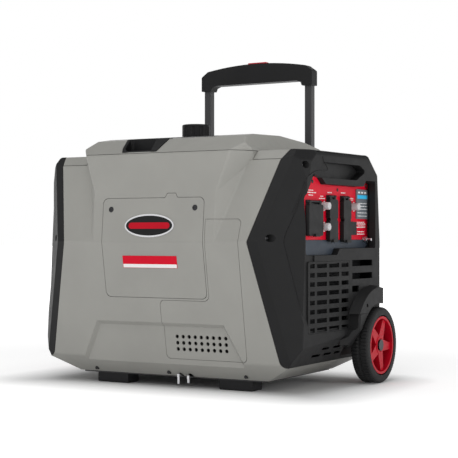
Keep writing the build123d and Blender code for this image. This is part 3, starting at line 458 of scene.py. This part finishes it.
def label_details():
    # plain white lower band on the red label, on the door's lower face
    x, z, out, drop = -8, 262, 0.8, 8.4
    half_width, half_height = 65.2, 3.6
    run, height = LOWER_LEAN
    lean = math.atan2(run, height)
    normal = Vector((0, -math.cos(lean), -math.sin(lean)))
    up = Vector((0, -math.sin(lean), math.cos(lean)))
    y = FOLD_Y + (FOLD_Z - z) * run / height
    centre = (x, y + normal.y * out - up.y * drop, z + normal.z * out - up.z * drop)
    corners = [(u * half_width, v * half_height) for u, v in ((-1, -1), (1, -1), (1, 1), (-1, 1))]
    bm = bmesh.new()
    add_slab(bm, centre, (Vector((1, 0, 0)), up, normal), corners, 0.0, 0.12)
    mesh_piece("label_band", bm, WHITE, "door")


def grip_rib():
    # raised bead that curls from the panel opening up beside the carry grip
    path = [(293.5, -170.5, 359.5), (301.6, -161.0, 385.8), (308.4, -152.8, 410.6), (313.0, -147.3, 427.1),
            (316.2, -131.6, 438.5), (317.6, -108.1, 445.2), (319.0, -82.8, 447.2), (320.0, -67.5, 450.6),
            (319.6, -73.8, 459.1), (319.0, -82.8, 467.0), (318.8, -86.2, 475.3)]
    curve = bpy.data.curves.new("grip_rib", "CURVE")
    curve.dimensions = "3D"
    curve.bevel_depth = 0.9 * MM
    curve.bevel_resolution = 3
    curve.use_fill_caps = True
    spline = curve.splines.new("BEZIER")
    spline.bezier_points.add(len(path) - 1)
    for point, co in zip(spline.bezier_points, path):
        point.co = at(*co)
        point.handle_left_type = point.handle_right_type = "AUTO"
    temp = bpy.data.objects.new("grip_rib_curve", curve)
    bpy.context.scene.collection.objects.link(temp)
    bpy.context.view_layer.update()
    mesh = bpy.data.meshes.new_from_object(temp.evaluated_get(bpy.context.evaluated_depsgraph_get()))
    bpy.data.objects.remove(temp)
    obj = bpy.data.objects.new("grip_rib", mesh)
    bpy.context.scene.collection.objects.link(obj)
    obj.data.materials.clear()
    obj.data.materials.append(BLACK)
    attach(obj, "chassis")


def tread_wave(i, j):
    # fine staggered lugs across the tread, for point i on the outline's ring j
    if j in (3, 4, 13, 14):
        return 0.35 if i % 3 else -0.7
    if j in (5, 6, 7, 10, 11, 12):
        stagger = i + (2 if j > 8 else 0)
        return 0.35 if stagger % 4 else -1.3
    if j in (8, 9):
        return -1.4
    return 0.0


def tread_tyre(side, body, node):
    # smooth sidewall with a rounded shoulder; the outline runs from one bead over the crown to the other
    half = [(70, 19.5), (75.5, 19.2), (78.6, 18.0), (80.0, 16.4), (80.6, 15.0), (80.9, 10.0), (81.0, 5.0),
            (81.0, 0.7)]
    outline = [(62.5, -19.4)]
    outline += [(radius, -across) for radius, across in half]
    outline += half[::-1]
    outline += [(64.0, 19.4)]
    bm = bmesh.new()
    rings = add_rings(bm, (TYRE_MIDDLE * side, *AXLE), Vector((side, 0, 0)), Vector((0, 1, 0)), outline,
                      TYRE_POINTS, tread_wave)
    join_rings(bm, rings + rings[:1])
    obj = mesh_piece(f"tread_{node}", bm, TYRE, body)
    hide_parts(node)


def cap_ring():
    # shallow raised ring on top of the fuel cap
    profile = [(24, 0), (24, 0.9), (22.5, 0.9), (22.0, 0.2), (1.0, 0.2)]
    bm = bmesh.new()
    add_lathe(bm, (-45, 20, 561.4), (0, 0, 1), profile, 48)
    mesh_piece("fuel_cap_ring", bm, BLACK_FINE, "filler_cap")


screws()
printed_bars()
bracket_marks()
display_face()
vent_backing()
badge_inlay()
label_details()
grip_rib()
tread_tyre(1, "wheel_right", "tyre_right")
tread_tyre(-1, "wheel_left", "tyre_left")
cap_ring()

# ---------------------------------------------------------------- stage, light and camera

WHITE_LIGHT = (1, 1, 1, 1)
DIM_SKY = 0.25            # the sky's strength to the sides and overhead


def area(name, where, aim, size, power):
    data = bpy.data.lights.new(name, "AREA")
    data.shape = "RECTANGLE"
    data.size, data.size_y = size
    data.energy = power
    lamp = bpy.data.objects.new(name, data)
    bpy.context.scene.collection.objects.link(lamp)
    lamp.location = where
    lamp.rotation_euler = (Vector(aim) - Vector(where)).to_track_quat("-Z", "Y").to_euler()


def studio_floor():
    bpy.ops.mesh.primitive_plane_add(size=60, location=(0, 0, 0))
    floor = bpy.context.object
    floor.name = "studio_floor"
    n = Nodes("studio_floor")
    n.link(n.ramp(n.noise(2.0), (0.72, 0.72, 0.72), (0.73, 0.73, 0.73)), n.bsdf.inputs["Base Color"])
    n.bsdf.inputs["Roughness"].default_value = 0.8
    n.bsdf.inputs["Specular IOR Level"].default_value = 0.0
    # painted light: the floor glows more the further it is from the object, and not at all under it, which
    # leaves a painted shadow beneath the object
    across = n.add("ShaderNodeVectorMath", operation="ABSOLUTE")
    n.link(n.where, across.inputs[0])
    beyond = n.add("ShaderNodeVectorMath", operation="SUBTRACT")
    n.link(across.outputs["Vector"], beyond.inputs[0])
    # a box a little inside the object's own outline, under which the floor gets no painted light, so the
    # shade there stays dark
    beyond.inputs[1].default_value = (0.32, 0.17, 0.0)
    outside = n.add("ShaderNodeVectorMath", operation="MAXIMUM")
    n.link(beyond.outputs["Vector"], outside.inputs[0])
    away = n.add("ShaderNodeVectorMath", operation="LENGTH")
    n.link(outside.outputs["Vector"], away.inputs[0])
    painted_floor_light = n.add("ShaderNodeMath", operation="ADD")
    near = ((0.0, 0.14), (0.0, 0.48))
    far = ((0.5, 4.0), (0.0, 0.8))
    for k, (distance, strength) in enumerate((near, far)):
        n.link(map_range(n.tree, away.outputs["Value"], distance, strength), painted_floor_light.inputs[k])
    n.bsdf.inputs["Emission Color"].default_value = WHITE_LIGHT
    n.link(painted_floor_light.outputs["Value"], n.bsdf.inputs["Emission Strength"])
    floor.data.materials.append(n.mat)


def studio_sky():
    # white screens in front of the object and behind it, dimmer to the sides and overhead
    world = bpy.data.worlds.new("studio")
    bpy.context.scene.world = world
    world.use_nodes = True
    tree = world.node_tree
    coords = tree.nodes.new("ShaderNodeTexCoord")
    brightest = tree.nodes.new("ShaderNodeMath")
    brightest.operation = "MAXIMUM"
    # each screen's direction, the cosines at its soft edge, and its strength
    screens = (((-0.5, 0.866, 0.0), (0.84, 0.955), 1.0), ((0.1, -0.995, 0.0), (0.35, 0.9), 0.95))
    for k, (towards, soft_edge, strength) in enumerate(screens):
        facing = tree.nodes.new("ShaderNodeVectorMath")
        facing.operation = "DOT_PRODUCT"
        facing.inputs[1].default_value = towards
        tree.links.new(coords.outputs["Generated"], facing.inputs[0])
        level = map_range(tree, facing.outputs["Value"], soft_edge, (DIM_SKY, strength))
        tree.links.new(level, brightest.inputs[k])
    # pale band all round at the horizon, so that the sweep meets the floor from every side
    height = tree.nodes.new("ShaderNodeSeparateXYZ")
    tree.links.new(coords.outputs["Generated"], height.inputs["Vector"])
    band = map_range(tree, height.outputs["Z"], (0.10, 0.32), (1.0, DIM_SKY))
    with_band = tree.nodes.new("ShaderNodeMath")
    with_band.operation = "MAXIMUM"
    tree.links.new(brightest.outputs["Value"], with_band.inputs[0])
    tree.links.new(band, with_band.inputs[1])
    back = tree.nodes["Background"]
    back.inputs["Color"].default_value = WHITE_LIGHT
    tree.links.new(with_band.outputs["Value"], back.inputs["Strength"])


def studio():
    studio_floor()
    studio_sky()
    middle = (0, 0, 0.25)
    area("top_box", (0.0, -0.4, 3.0), middle, (2.6, 2.6), 26)
    area("key", (0.5, -2.4, 2.8), middle, (1.8, 1.8), 24)
    area("edge", (3.4, -0.3, 0.8), middle, (1.2, 1.2), 24)


def camera():
    data = bpy.data.cameras.new("camera")
    data.lens = 100.9
    data.sensor_width = 36.0
    cam = bpy.data.objects.new("camera", data)
    bpy.context.scene.collection.objects.link(cam)
    cam.location = at(1446.8, -2417.5, 315.0)
    cam.rotation_euler = (math.radians(90.31), 0, math.radians(30.0))
    bpy.context.scene.camera = cam


studio()
camera()
bpy.context.scene.view_settings.view_transform = "Standard"
